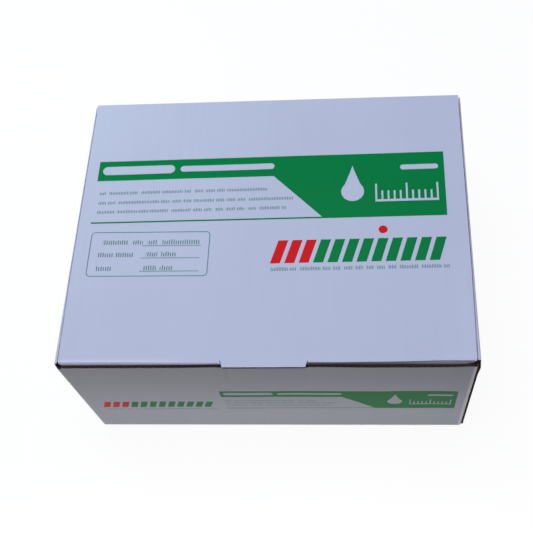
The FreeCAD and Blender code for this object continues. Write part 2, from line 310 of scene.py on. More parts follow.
class Sheet:
    """The mesh of one folded strip of board, built up layer by layer."""

    def __init__(self, name, lay):
        self.name = name
        self.lay = lay
        self.points = []
        self.faces = []
        self.finishes = []

    def add_layer(self, flat, near, far, face, back, edge):
        """Add one closed layer between two depths below the white face."""
        points, faces, border = flat
        base, count = len(self.points), len(points)
        for depth in (near, far):
            self.points += [self.lay(a, b, depth) for a, b in points]
        for corners in faces:
            self.faces.append([base + index for index in corners])
            self.faces.append([base + count + index for index in reversed(corners)])
            self.finishes += [face, back]
        for one, two in border:
            self.faces.append([base + one, base + two, base + count + two, base + count + one])
            self.finishes.append(edge)

    def add_liners(self, flat, outside):
        """Add the white liner and the brown one."""
        self.add_layer(flat, 0, WHITE_LINER, outside, "brown_liner", "white_cut_edge")
        self.add_layer(flat, BOARD - BROWN_LINER, BOARD,
                       "brown_liner", "brown_liner", "brown_cut_edge")

    def add_core(self, flat):
        """Add the crushed flutes inside a fold, as one closed layer."""
        self.add_layer(flat, WHITE_LINER, BOARD - BROWN_LINER,
                       "fluting_paper", "fluting_paper", "fluting_paper")

    def add_flutes(self, across, reach, row_step, along_fold):
        """Add the fluted paper over a range across the flutes; reach gives a flute's two ends."""
        steps = max(2, round((across[1] - across[0]) / FLUTE_PITCH * FLUTE_STEPS))
        swing = (BOARD - WHITE_LINER - BROWN_LINER - FLUTING_PAPER) / 2
        middle = WHITE_LINER + swing + FLUTING_PAPER / 2
        longest = max(reach(w)[1] - reach(w)[0] for w in across)
        rows = max(1, round(longest / row_step))
        base = len(self.points)
        for step in range(steps + 1):
            w = across[0] + (across[1] - across[0]) * step / steps
            low, high = reach(w)
            depth = middle + swing * math.cos(2 * math.pi * w / FLUTE_PITCH)
            for side in (-0.5, 0.5):
                for row in range(rows + 1):
                    t = low + (high - low) * row / rows
                    a, b = (t, w) if along_fold else (w, t)
                    self.points.append(self.lay(a, b, depth + side * FLUTING_PAPER))
        layer = rows + 1
        column = 2 * layer
        for step in range(steps):
            for row in range(rows):
                here = base + step * column + row
                quad = [here, here + 1, here + column + 1, here + column]
                self.faces.append(quad)
                self.faces.append([index + layer for index in reversed(quad)])
            for row in (0, rows):
                here = base + step * column + row
                self.faces.append([here, here + column, here + column + layer, here + layer])
        for step in (0, steps):
            for row in range(rows):
                here = base + step * column + row
                self.faces.append([here, here + 1, here + layer + 1, here + layer])
        self.finishes += ["fluting_paper"] * (len(self.faces) - len(self.finishes))

    def finish(self, materials):
        """Make the piece, with every layer's faces turned outwards."""
        mesh = bpy.data.meshes.new(self.name)
        mesh.from_pydata([Vector(point) * MM for point in self.points], [], self.faces)
        order = sorted(set(self.finishes))
        for finish in order:
            mesh.materials.append(materials[finish])
        mesh.polygons.foreach_set("material_index", [order.index(name) for name in self.finishes])
        solid = bmesh.new()
        solid.from_mesh(mesh)
        bmesh.ops.recalc_face_normals(solid, faces=solid.faces)
        solid.to_mesh(mesh)
        solid.free()
        mesh.shade_smooth()
        mesh.set_sharp_from_angle(angle=math.radians(35))
        piece = bpy.data.objects.new(self.name, mesh)
        bpy.context.scene.collection.objects.link(piece)
        return piece


# How far real board strays from flat, in millimetres towards the carton's inside.

def limited(share):
    """Return a share held between 0 and 1."""
    return min(max(share, 0), 1)


def ramp(value, start, full):
    """Return 0 before start and 1 past full, easing in between; full may be the lower one."""
    share = limited((value - start) / (full - start))
    return share * share * (3 - 2 * share)


def unevenness(x, y, scale, seed):
    return noise.noise(Vector((x / scale, y / scale, seed)))


def groove(distance, width):
    """Return a soft round-bottomed dip, 1 at its middle."""
    return math.exp(-(distance / width) ** 2)


def front_panel_dip(x, z):
    """Return how far the front panel lies behind its plane."""
    held = ramp(PANEL_HALF - abs(x), 0, 14) * ramp(z, 1.6, 10) * ramp(RIM_TOP - z, 0, 9)
    hollow = 0.22 + 0.22 * unevenness(x, z, 34, 3.1) + 0.1 * unevenness(x, z, 11, 8.4)
    dents = 0.0
    for top_x, foot_x in DENTS:
        line = foot_x + (top_x - foot_x) * (z - DENT_FOOT) / DENT_RISE
        dents += DENT_DEPTH * groove(x - line, DENT_WIDTH) * ramp(z, 66, 71) * ramp(z, 86, 82)
    return held * hollow + dents


def front_top_cut(x):
    """Return how far the front panel's raw top edge lies under the rim."""
    under_tab = TAB_DROOP * ramp(TAB_HALF_ROOT + 1 - abs(x), 0, 1)
    right = RIGHT_TOP_CUT * ramp(x, 22, 52) * ramp(PANEL_HALF - x, 0, 9)
    left = LEFT_TOP_CUT * ramp(-x, 21, 45)
    return right + left + under_tab


def lid_half(y):
    """Return how far the lid reaches to each side."""
    narrowing = limited((LID_FRONT + LID_TAPER - y) / LID_TAPER)
    return LID_HALF_REAR + (LID_HALF_FRONT - LID_HALF_REAR) * narrowing


def fold_softness(x):
    """Return 1 where the lid's front fold is soft and bulges, at the left, and 0 where crisp."""
    across = (x + LID_HALF_REAR) / (2 * LID_HALF_REAR)
    return limited(ramp(across, 0.72, 0.05) + 0.15 * unevenness(x, 0, 23, 9.3))


def fold_reach(x):
    """Return how far the lid's front fold stands out over the front panel."""
    return FOLD_BULGE * fold_softness(x) - FOLD_PINCH * ramp(x, 50, 90)


def lid_dip(x, y):
    """Return how far the lid's top lies under the highest level it reaches."""
    held = ramp(abs(x), LID_HELD, LID_FREE) * ramp(y, 76, 66)
    waves = 0.14 + 0.14 * unevenness(x, y, 42, 1.7) + 0.05 * unevenness(x, y, 13, 6.2)
    softness = fold_softness(x)
    behind_fold = max(y - LID_FRONT + fold_reach(x), 0)
    pressed = 0.3 + 0.35 * unevenness(x, 0, 17, 4.4)
    pressed *= groove(behind_fold - PRESSED_BACK, PRESSED_WIDTH) * ramp(abs(x), LID_HELD, 92)
    crown = FOLD_CROWN * softness * max(1 - behind_fold / CROWN_LENGTH, 0) ** 2
    return held * waves + max(pressed, 0) * (1 - softness) + crown


def side_panel_dip(y, z):
    """Return how far an outer side panel lies inside its plane."""
    held = ramp(OUTER_END - abs(y), 0, 16) * ramp(z, 1.6, 12) * ramp(RIM_TOP - z, 1.6, 12)
    return held * (0.3 + 0.25 * unevenness(y, z, 40, 12.5))


# Each strip is laid out flat, along its folds and across them, and then folded up.

def make_front_to_back(materials):
    """Make the front panel, the bottom and the back panel, up to the rear crease."""
    fold = Fold([(-HALF_DEPTH, RIM_TOP), (-HALF_DEPTH, 0), (HALF_DEPTH, 0),
                 (HALF_DEPTH, CREASE_FOOT)], [FOOT_RADIUS, FOLD_RADIUS])
    (front_foot, bottom_front), (bottom_rear, back_foot) = fold.bends()
    length = fold.marks[-1]

    def lay(a, b, depth):
        point, outward = fold.at(a)
        if a < front_foot:
            depth += front_panel_dip(b, point.y)
        place = point - outward * depth
        return (b, place.x, place.y)

    sheet = Sheet("front_bottom_and_back_board", lay)
    columns = even_steps(-PANEL_HALF, PANEL_HALF, GRID / 4)
    outline = [(0, -PANEL_HALF), (length, -PANEL_HALF), (length, PANEL_HALF), (0, PANEL_HALF)]
    outline += [(front_top_cut(x), x) for x in reversed(columns)]
    along = grid_lines(fold, length)
    across = columns[3::4] + [side * x for side in (-1, 1) for x in DENT_GRID]
    middle = bottom_front + HALF_DEPTH - FOLD_RADIUS
    slots = []
    for side in (-1, 1):
        for end in (-1, 1):
            near = middle + end * TONGUE_MIDDLE - TONGUE_HALF - SLOT_CLEARANCE
            far = middle + end * TONGUE_MIDDLE + TONGUE_HALF + SLOT_CLEARANCE
            inner = side * (INNER_INSIDE - SLOT_CLEARANCE)
            outer = side * (PANEL_HALF + BOARD)
            slots.append((rectangle(near, far, inner, outer), None))
    sheet.add_liners(cut_out(outline, along, across, slots), "front_print")

    flute_half = INNER_INSIDE - SLOT_CLEARANCE - FLUTE_RECESS
    sheet.add_flutes((-flute_half, flute_half),
                     lambda x: (TOP_FLUTE_RECESS + front_top_cut(x), front_foot - CRUSHED),
                     GRID / 2, along_fold=True)
    for low, high in ((bottom_front, bottom_rear - CRUSHED), (back_foot, length)):
        sheet.add_flutes((-flute_half, flute_half),
                         lambda x, low=low, high=high: (low + CRUSHED, high),
                         2 * GRID, along_fold=True)
    for start, end in fold.bends():
        core = rectangle(start - CRUSHED, end + CRUSHED, -PANEL_HALF, PANEL_HALF)
        lines = [a for a in along if start <= a <= end]
        sheet.add_core(cut_out(core, lines, across))
    return sheet.finish(materials)


def make_side(name, side, materials, front_end, shoulder_end):
    """Make one rolled side wall: its fold from the bottom, outer panel, rim and inner panel."""
    fold = Fold([(PANEL_HALF, 0), (HALF_LENGTH, 0), (HALF_LENGTH, RIM_TOP),
                 (INNER_INSIDE, RIM_TOP), (INNER_INSIDE, TONGUE_TIP)],
                [FOLD_RADIUS, RIM_RADIUS, FOLD_RADIUS])
    (foot_start, foot_end), (rim_start, rim_middle), (_, rim_end) = fold.bends()
    relief = rim_start - (RIM_TOP - RIM_RADIUS - (TOP - 2 * BOARD))
    shoulder = rim_middle + SHOULDER_WIDTH
    flat_start = shoulder + FINE_GRID
    flat_end = shoulder_end - RIM_SET_BACK
    tip = fold.marks[-1]
    foot = tip - (INNER_FOOT - TONGUE_TIP)

    def lay(a, b, depth):
        point, outward = fold.at(a)
        if foot_end < a < rim_start:
            near_end = ramp(-b, front_end - END_LENGTH, front_end)
            depth *= 1 - END_CRUSH * near_end
            depth += END_DIP * near_end * ramp(point.y, 0, 3) * ramp(RIM_TOP - point.y, 3, 12)
            depth += side_panel_dip(b, point.y)
        place = point - outward * depth
        edge = lid_half(b)
        proud = SHOULDER * ramp(point.x, edge + SHOULDER_START, edge + SHOULDER_FULL)
        return (side * place.x, b, place.y + proud * ramp(point.y, SHOULDER_FOOT, RIM_TOP))

    sheet = Sheet(name, lay)
    outline = [(0, BOTTOM_SET_BACK - OUTER_END), (foot_start, FRONT_FOOT_SET_BACK - OUTER_END)]
    outline += [(foot_end + height, set_back - front_end) for height, set_back in FRONT_FOOT_CUT]
    outline += [(relief - SHOULDER_CUT_LOW, -front_end),
                (relief - SHOULDER_CUT_HIGH, -max(front_end, shoulder_end)),
                (relief, -shoulder_end), (shoulder, -shoulder_end),
                (flat_start, -flat_end), (rim_end, -flat_end), (foot, -INNER_FOOT_END)]
    for middle in (-TONGUE_MIDDLE, TONGUE_MIDDLE):
        outline += [(foot, middle - TONGUE_HALF), (tip, middle - TONGUE_HALF + TONGUE_TAPER),
                    (tip, middle + TONGUE_HALF - TONGUE_TAPER), (foot, middle + TONGUE_HALF)]
    outline += [(foot, INNER_FOOT_END), (rim_end, RIM_REAR_END), (flat_start, RIM_REAR_END),
                (shoulder, SHOULDER_REAR_END), (relief, OUTER_END), (foot_end, OUTER_END),
                (foot_start, OUTER_END - REAR_FOOT_SET_BACK), (0, OUTER_END - BOTTOM_SET_BACK)]
    along = grid_lines(fold, tip) + [relief - 1]
    along += [rim_middle + FINE_GRID * step for step in range(1, 10)]
    across = even_steps(-OUTER_END, OUTER_END, GRID)
    across += [inset - front_end for inset in SIDE_END_GRID]
    across += [-flat_end, SHOULDER_REAR_END]
    sheet.add_liners(cut_out(outline, along, across), "white_board")

    def outer_reach(w):
        if w < relief:
            return FLUTE_RECESS - front_end, OUTER_END - FLUTE_RECESS
        return FLUTE_RECESS - flat_end, RIM_REAR_END - FLUTE_RECESS

    def inner_reach(w):
        share = (w - rim_end) / (foot - rim_end)
        front = flat_end + (INNER_FOOT_END - flat_end) * share - FLUTE_RECESS
        rear = RIM_REAR_END + (INNER_FOOT_END - RIM_REAR_END) * share - FLUTE_RECESS
        return -front, rear

    sheet.add_flutes((foot_end + CRUSHED, rim_start - CRUSHED), outer_reach,
                     2 * GRID, along_fold=False)
    sheet.add_flutes((rim_end + CRUSHED, foot - FLUTE_RECESS), inner_reach,
                     2 * GRID, along_fold=False)
    bottom_end = OUTER_END - BOTTOM_SET_BACK
    for start, end, low, high in ((0, foot_end, -bottom_end, bottom_end),
                                  (rim_start, rim_end, -flat_end, RIM_REAR_END)):
        core = rectangle(start, end + CRUSHED, low, high)
        lines = [a for a in along if start < a < end + CRUSHED]
        sheet.add_core(cut_out(core, lines, across))
    return sheet.finish(materials)


def make_corner_flap(corner, side, end, swell, rise, outside, materials):
    """Make the fold at one upright edge, which swells a little, and its flap in the side wall."""
    knuckle = FLAP_OUTSIDE + swell
    swell_end = -HALF_DEPTH + FOLD_RADIUS + SWELL_LENGTH
    fold = Fold([(PANEL_HALF, -HALF_DEPTH), (knuckle, -HALF_DEPTH), (knuckle, swell_end),
                 (FLAP_OUTSIDE, swell_end + SWELL_EASE), (FLAP_OUTSIDE, -HALF_DEPTH + FLAP_REACH)],
                [FOLD_RADIUS, SWELL_RADIUS, SWELL_RADIUS])
    length = fold.marks[-1]
    bend_start, bend_end = fold.bends()[0]
    starts = (0, bend_start, (bend_start + bend_end) / 2)
    low, high = BOARD + FLAP_RELIEF, TOP - 2 * BOARD - FLAP_RELIEF
    foot_radius = FOOT_RADIUS if end == 1 else FOLD_RADIUS

    def lay(a, b, depth):
        point, outward = fold.at(a)
        place = point - outward * depth
        below = max(foot_radius - b, 0)
        lean = foot_radius - math.sqrt(foot_radius ** 2 - below ** 2)
        return (side * place.x, end * (place.y + lean), b)

    sheet = Sheet(f"{corner}_corner_flap", lay)
    foot = [*zip(starts, FLAP_FOOT), (bend_end, low)]
    head = [(a, high + rise + over) for a, over in zip(starts, FLAP_HEAD)] + [(bend_end, high)]
    head.reverse()
    outline = foot + [(length, low + FLAP_SLOPE), (length, high - FLAP_SLOPE)] + head
    lines = grid_lines(fold, length)
    heights = even_steps(low, high, 2 * GRID) + [*FLAP_FOOT_GRID, foot_radius]
    sheet.add_liners(cut_out(outline, lines, heights), outside)

    def reach(w):
        slope = FLAP_SLOPE * max(w - bend_end, 0) / (length - bend_end) + FLUTE_RECESS
        return low + slope, high - slope

    sheet.add_flutes((bend_end + CRUSHED, length - FLUTE_RECESS), reach,
                     4 * GRID, along_fold=False)
    core_end = bend_end + CRUSHED
    core = [(a, b + CORE_INSET) for a, b in foot]
    core += [(core_end, low + CORE_END_INSET), (core_end, high - CORE_END_INSET)]
    core += [(a, b - CORE_INSET) for a, b in head]
    sheet.add_core(cut_out(core, [a for a in lines if a < core_end], heights))
    return sheet.finish(materials)


def lid_fold(x):
    """Return the lid's white face at one place along it, from the rear crease to the flap's tip."""
    radius = CRISP_FOLD_RADIUS + (SOFT_FOLD_RADIUS - CRISP_FOLD_RADIUS) * fold_softness(x)
    return Fold([(LID_REAR, TOP), (LID_FRONT - fold_reach(x), TOP),
                 (LID_FRONT, RIM_TOP - FLAP_BEND_DROP), (TUCK_TIP_Y, TUCK_TIP_Z)],
                [radius, FLAP_BEND_RADIUS])


def make_lid(materials):
    """Fold the lid's cut sheet, with its tab and tuck flap, and lay its layers."""
    straight = lid_fold(-LID_HALF_REAR)
    front, bend_end = straight.bends()[0]
    length = straight.marks[-1]
    tab_end = LID_REAR - TAB_TIP_Y
    ear_end = front + FREE_CORNER
    folds = {}

    def lay(a, b, depth):
        tab_share = limited((a - front) / (tab_end - front))
        tab_half = TAB_HALF_ROOT + (TAB_HALF_TIP - TAB_HALF_ROOT) * tab_share
        if abs(b) < tab_half + KNIFE / 4 and a < tab_end + KNIFE / 4:
            y = LID_REAR - a
            dip = lid_dip(b, y) * (1 - TAB_FLATNESS * tab_share)
            return (b, y, TOP - depth - dip - TAB_DROOP * tab_share)
        if b not in folds:
            folds[b] = lid_fold(b)
        point, outward = folds[b].at(a)
        depth *= 1 - FOLD_CRUSH * groove(a - sum(folds[b].bends()[0]) / 2, CRUSHED)
        dip = lid_dip(b, point.x) * ramp(bend_end - a, 0, bend_end - front)
        place = point - outward * (depth + dip)
        return (b, place.x, place.y)

    sheet = Sheet("lid_board", lay)
    taper_start = (front - LID_TAPER, LID_HALF_REAR)
    corner = rounded(taper_start, (ear_end, LID_HALF_FRONT), (ear_end, TUCK_HALF), LID_CORNER)
    tip_corner = rounded((bend_end, TUCK_HALF), (length, TUCK_HALF - TUCK_TAPER), (length, 0),
                         TUCK_CORNER, steps=8)
    outline = mirrored([(0, REAR_CREASE_HALF), (LID_REAR_CORNER, LID_HALF_REAR), taper_start,
                        *corner, (ear_end, TUCK_HALF), *tip_corner])
    tab, notch = (mirrored([(front, -TAB_HALF_ROOT - gap), (tab_end + gap, -TAB_HALF_TIP - gap)])
                  for gap in (0, KNIFE))
    windows = [(notch, tab), (tab, tab)]
    along = grid_lines(straight, length) + [front - step for step in LID_FOLD_GRID]
    along += [*LID_REAR_GRID, *even_steps(front, bend_end, FINE_GRID)]
    across = even_steps(-LID_HALF_REAR, LID_HALF_REAR, GRID)
    for inset in LID_SIDE_GRID:
        across += [inset - LID_HALF_FRONT, LID_HALF_FRONT - inset]
    sheet.add_liners(cut_out(outline, along, across, windows), "lid_print")

    def flap_reach(w):
        inset = max(abs(w) - (TUCK_HALF - TUCK_TAPER - TUCK_CORNER), 0)
        end = length - TUCK_CORNER + math.sqrt(max(TUCK_CORNER ** 2 - inset ** 2, 0))
        return bend_end + CRUSHED, end - FLUTE_RECESS

    top_half = LID_HALF_FRONT - FLUTE_RECESS
    sheet.add_flutes((-top_half, top_half), lambda w: (FLUTE_RECESS, front - LID_CRUSHED),
                     2 * GRID, along_fold=True)
    flap_half = TUCK_HALF - TUCK_TAPER - FLUTE_RECESS
    sheet.add_flutes((-flap_half, flap_half), flap_reach, GRID, along_fold=True)
    low, high = front - LID_CRUSHED, bend_end + CRUSHED
    core_half, flap_core_half = LID_HALF_FRONT - CORE_INSET, TUCK_HALF - CORE_INSET
    core_end = ear_end - CORE_END_INSET
    core = mirrored([(low, core_half), (ear_end - LID_CORNER, core_half),
                     (core_end, LID_HALF_FRONT - LID_CORNER), (core_end, flap_core_half),
                     (high, flap_core_half)])
    sheet.add_core(cut_out(core, [a for a in along if low < a < high], across, windows))
    return sheet.finish(materials)


def make_rear_crease(materials):
    """Make the board that bends where the lid turns on the back panel."""
    fold = Fold([(HALF_DEPTH, CREASE_FOOT), (HALF_DEPTH, TOP), (LID_REAR, TOP)],
                [REAR_FOLD_RADIUS])
    length = fold.marks[-1]
    half = REAR_CREASE_HALF

    def lay(a, b, depth):
        point, outward = fold.at(a)
        place = point - outward * depth
        return (b, place.x, place.y)

    sheet = Sheet("rear_crease_board", lay)
    outline = [(0, CREASE_TAPER - half), (length, -half), (length, half), (0, half - CREASE_TAPER)]
    flat = cut_out(outline, grid_lines(fold, length), even_steps(-half, half, GRID))
    sheet.add_liners(flat, "white_board")
    sheet.add_core(flat)
    return sheet.finish(materials)


class Value:
    """One socket of a material, on which Python's operators add Math nodes."""

    def __init__(self, nodes, socket):
        self.nodes = nodes
        self.socket = socket

    def math(self, operation, *values):
        return self.nodes.node("ShaderNodeMath", {"operation": operation}, dict(enumerate(values)))

    def beside(self, output):
        """Return another output of the same node."""
        return Value(self.nodes, self.socket.node.outputs[output])

    def __add__(self, other):
        return self.math("ADD", self, other)

    __radd__ = __add__

    def __sub__(self, other):
        return self.math("SUBTRACT", self, other)

    def __rsub__(self, other):
        return self.math("SUBTRACT", other, self)

    def __mul__(self, other):
        return self.math("MULTIPLY", self, other)

    __rmul__ = __mul__

    def __truediv__(self, other):
        return self.math("DIVIDE", self, other)

    def __rtruediv__(self, other):
        return self.math("DIVIDE", other, self)

    def __pow__(self, other):
        return self.math("POWER", self, other)

    def __gt__(self, other):
        return self.math("GREATER_THAN", self, other)

    def __lt__(self, other):
        return self.math("LESS_THAN", self, other)

    def __abs__(self):
        return self.math("ABSOLUTE", self)

    def whole(self):
        return self.math("FLOOR", self)

    def remainder(self):
        return self.math("FRACT", self)

    def sine(self):
        return self.math("SINE", self)

    def at_least(self, other):
        return self.math("MAXIMUM", self, other)

    def at_most(self, other):
        return self.math("MINIMUM", self, other)

    def clamped(self):
        return self.nodes.node("ShaderNodeClamp", {}, {"Value": self})


class Nodes:
    """The nodes of a material or the world."""

    def __init__(self, owner):
        owner.use_nodes = True
        self.tree = owner.node_tree
        self.tree.nodes.clear()

    def node(self, kind, settings, sockets, output=0):
        """Add a node: its settings first, then the values or links of its sockets."""
        made = self.tree.nodes.new(kind)
        for name, setting in settings.items():
            setattr(made, name, setting)
        for name, value in sockets.items():
            if isinstance(value, Value):
                self.tree.links.new(value.socket, made.inputs[name])
            else:
                made.inputs[name].default_value = value
        return Value(self, made.outputs[output]) if made.outputs else None


class Recipe(Nodes):
    """A material's nodes, with the board's own place in millimetres to work from."""

    def __init__(self, name):
        self.material = bpy.data.materials.new(name)
        super().__init__(self.material)
        self.place = self.node("ShaderNodeTexCoord", {}, {}, "Object")
        parts = self.node("ShaderNodeSeparateXYZ", {}, {"Vector": self.place})
        self.x, self.y, self.z = [parts.beside(axis) / MM for axis in range(3)]

    def cloud(self, scales, detail=2.0, roughness=0.5):
        """Return soft noise from 0 to 1, with a scale in cycles a millimetre for each axis."""
        stretched = self.node("ShaderNodeVectorMath", {"operation": "MULTIPLY"},
                              {0: self.place, 1: tuple(scale / MM for scale in scales)})
        return self.node("ShaderNodeTexNoise", {"noise_dimensions": "3D"},
                         {"Vector": stretched, "Scale": 1.0, "Detail": detail,
                          "Roughness": roughness}, "Fac")

    def chance(self, cell):
        """Return a random value from 0 to 1 for each whole number."""
        return self.node("ShaderNodeTexWhiteNoise", {"noise_dimensions": "1D"}, {"W": cell},
                         "Value")

    def mix(self, share, first, second):
        """Return one colour blended into another."""
        return self.node("ShaderNodeMix", {"data_type": "RGBA"},
                         {"Factor": share, 6: first, 7: second}, 2)

    def toned(self, colour, shade):
        """Return a colour made lighter or darker by a share."""
        return self.node("ShaderNodeVectorMath", {"operation": "SCALE"},
                         {0: colour[:3] if isinstance(colour, tuple) else colour, "Scale": shade})

    def bump(self, height, distance):
        """Return a normal from a height from 0 to 1 that stands for a distance in millimetres."""
        return self.node("ShaderNodeBump", {},
                         {"Height": height, "Distance": distance * MM, "Strength": 1.0}, "Normal")

    def surface(self, **sockets):
        """Finish the material with one plain surface shader."""
        words = {name.replace("_", " "): value for name, value in sockets.items()}
        shader = self.node("ShaderNodeBsdfPrincipled", {}, words)
        self.node("ShaderNodeOutputMaterial", {}, {"Surface": shader})
        return self.material


def linear(red, green, blue):
    """Return a screen colour, 0 to 255, as a linear one."""
    def channel(level):
        share = level / 255
        return share / 12.92 if share <= 0.04045 else ((share + 0.055) / 1.055) ** 2.4
    return (channel(red), channel(green), channel(blue), 1.0)


WHITE_COAT = linear(184, 189, 205)
GREEN_INK = linear(0, 120, 60)
TEXT_INK = linear(38, 104, 92)
RED_INK = linear(205, 24, 26)
KRAFT = linear(146, 118, 90)
# Fluting paper: its kraft brown darkened to near black, as painted shade of the flute hollows and
# raw edges.
SHADED_FLUTING = linear(38, 31, 27)
# Brown liner's cut edge: its own brown darkened, partly the edge's colour and partly painted shade
# at the raw edges.
SHADED_BROWN_EDGE = linear(58, 46, 40)
# White liner's cut edge: dark grey-brown, partly its kraft body and partly painted shade of the
# gaps at the raw edges.
SHADED_WHITE_EDGE = linear(84, 76, 70)
COAT_RELIEF = 0.045     # how deep, in millimetres, the flutes and fibres show in the white face
PAPER_RELIEF = 0.05
STRETCHED_SHINE = 0.6


def span(value, low, high):
    """Return 1 between two limits and 0 outside them."""
    return (value > low) * (value < high)


def block(x, y, low, high):
    """Return 1 inside an upright rectangle."""
    return span(x, low[0], high[0]) * span(y, low[1], high[1])


def pill(x, y, low, high, corner):
    """Return the distance in millimetres from a rectangle with round corners, negative inside."""
    across = abs(x - (low[0] + high[0]) / 2) - ((high[0] - low[0]) / 2 - corner)
    up = abs(y - (low[1] + high[1]) / 2) - ((high[1] - low[1]) / 2 - corner)
    outside = (across.at_least(0) ** 2 + up.at_least(0) ** 2) ** 0.5
    return outside + across.at_least(up).at_most(0) - corner


def dashes(recipe, x, y, low, high, pitch, seed):
    """Return a row of fine upright strokes of uneven length, with wider breaks here and there."""
    cell = (x / pitch).whole()
    stroke = (x / pitch).remainder() < 0.5
    run = recipe.chance((x / (pitch * 6.7)).whole() + seed)
    gap = ((x / (pitch * 6.7)).remainder() * (0.7 + 0.6 * run)) < 0.86
    length = 0.72 + 0.28 * recipe.chance(cell + seed)
    share = (y - low[1]) / (high[1] - low[1])
    return block(x, y, low, high) * stroke * gap * (share < length)


def bars(x, y, low, height, pitch):
    """Return a row of whole slanting bars, and each one's number along the row."""
    slanted = (x - low[0] - (y - low[1]) * BAR_LEAN) / pitch
    row = span(y, low[1], low[1] + height) * span(slanted, 0, BARS)
    return row * (slanted.remainder() < BAR_SHARE), slanted.whole()


def drop(x, y, centre, radius, height):
    """Return a plain drop: a round foot that narrows to a point at its top."""
    across = abs(x - centre[0])
    up = y - centre[1]
    foot = (across ** 2 + up ** 2) < radius ** 2
    share = (up / height).at_least(0)
    neck = (across < radius * (1 - share) ** 1.15) * span(up, 0, height)
    return foot.at_least(neck)


def coated_board(name, printed=None, shine=0.0):
    """Make the white coated face; printed adds its inks, and shine is its gloss or gives it."""
    recipe = Recipe(name)
    broad = recipe.cloud((1 / 55, 1 / 70, 1 / 55), detail=1.5)
    streaks = recipe.cloud((1 / 2.6, 1 / 90, 1 / 90), detail=2.0)
    grain = recipe.cloud((1.9, 1.9, 1.9), detail=3.0, roughness=0.65)
    colour = printed(recipe) if printed else WHITE_COAT
    washboard = (recipe.x * (2 * math.pi / FLUTE_PITCH)).sine() * 0.5 + 0.5
    height = washboard * 0.5 + streaks * 0.25 + grain * 0.12 + broad * 0.4
    return recipe.surface(
        Base_Color=recipe.toned(colour, 0.93 + 0.09 * broad + 0.035 * streaks + 0.02 * grain),
        Roughness=0.32 + 0.1 * broad, Normal=recipe.bump(height, COAT_RELIEF),
        Specular_IOR_Level=0.05, Coat_Weight=shine(recipe) if callable(shine) else shine,
        Coat_Roughness=0.25)


# The print's layout in millimetres on the lid. A rectangle is its low and its high corner. Text
# is its rows, half their height and the pitch of their strokes; a row is its two ends, its middle
# and a seed. A band is its low corner, its height and the pitch of its bars.
FIELD = ((-92.6, 1.6), (89.0, 40.3))
FIELD_STEP = 27.9       # above it the green field is full length
FIELD_SLANT = 29.0      # x and y added, along the sloping end of its lower part
FIELD_LINE = ((-92.6, 1.6), (29.0, 2.5))
LONG_HEADING = ((-90.3, 31.7), (-51.5, 36.9), 2.6)
SHORT_HEADING = ((-48.5, 32.4), (1.3, 36.0), 1.8)
SMALL_LABEL = ((66.5, 29.8), (85.9, 32.8), 1.5)
DROP = ((42.0, 17.2), 5.8, 16.0)
TICK_START, TICK_LENGTH, TICK_PITCH, TALL_TICK_PITCH = 53.5, 32.0, 3.1, 15.5
TICK_FOOT, TICK_TOP, TALL_TICK_TOP = 11.0, 17.2, 21.5
TICK_LINE = ((53.5, 10.7), (85.5, 12.0))
LID_TEXT = (((-90.4, -1.7, 20.1, 0), (-90.4, 11.8, 14.2, 40), (-90.4, 8.4, 8.6, 80)), 1.0, 0.85)
LID_NOTE = (((1.2, 88.7, -27.0, 500),), 1.1, 0.8)
FRAME_ENTRIES = (((-86.4, -34.5, -11.0, 200), (-86.3, -68.4, -18.2, 231),
                  (-62.3, -46.5, -18.0, 262), (-86.3, -78.7, -26.0, 293),
                  (-62.5, -47.3, -25.8, 324)), 1.4, 1.15)
FRAME = ((-91.0, -30.4), (-30.0, -5.2), 2.0)
FRAME_LINE = 0.24       # half its width
ENTRY_LINES = (-13.1, -20.2, -27.7)
ENTRY_LINE_ENDS, ENTRY_LINE_HALF = (-64.2, -34.2), 0.2
DOT_X, DOT_DROP, DOT_RADIUS_SQUARED = 57.0, 5.8, 5.0
LID_BAND = ((1, -23.8), 13.0, 7.1)
FRONT_BAND = ((-91, 31.6), 8.2, 4.9)
BAR_SHARE, BAR_LEAN = 0.7, 0.3
RED_BARS, BARS = 3, 12
LID_RISE, LID_FALL = 0.0085, 0.008  # slopes of the lid's print: the field's and the frame's
FRONT_FIELD_LENGTH, FRONT_FIELD_HIGH = 118.6, (92.6, 55.0)
FRONT_TEXT = (((-25.5, 22.0, 41.2, 0), (-25.5, 33.0, 38.0, 60), (-25.5, 30.0, 34.6, 120),
               (-91.0, -30.0, 28.6, 700)), 0.65, 0.62)
TEXT_STRENGTH = 0.8
PRINT_DEPTH = 1.2       # how far round a fold the print reaches


def fine_rows(recipe, x, y, rows, half_height, pitch):
    """Return several rows of fine strokes."""
    marks = None
    for start, end, middle, seed in rows:
        row = dashes(recipe, x, y, (start, middle - half_height), (end, middle + half_height),
                     pitch, seed)
        marks = row if marks is None else marks.at_least(row)
    return marks


def print_field(recipe, x, y):
    """Print the stepped green field with its plain marks; x and y are millimetres on the lid."""
    field = block(x, y, *FIELD) * (y > FIELD_STEP).at_least((x + y) > FIELD_SLANT)
    line = block(x, y, *FIELD_LINE)
    colour = recipe.mix(field.at_least(line), WHITE_COAT, GREEN_INK)
    headings = (pill(x, y, *LONG_HEADING) < 0).at_least(pill(x, y, *SHORT_HEADING) < 0)
    small = pill(x, y, *SMALL_LABEL) < 0
    mark = drop(x, y, *DROP)
    along = x - TICK_START
    tall = (along / TALL_TICK_PITCH).remainder() < 0.06
    ticks = span(along, 0, TICK_LENGTH) * span(y, TICK_FOOT, TALL_TICK_TOP)
    ticks = ticks * ((along / TICK_PITCH).remainder() < 0.3) * (y < TICK_TOP).at_least(tall)
    rule = block(x, y, *TICK_LINE)
    white = headings.at_least(small).at_least(mark).at_least(ticks).at_least(rule)
    return recipe.mix(white, colour, WHITE_COAT)


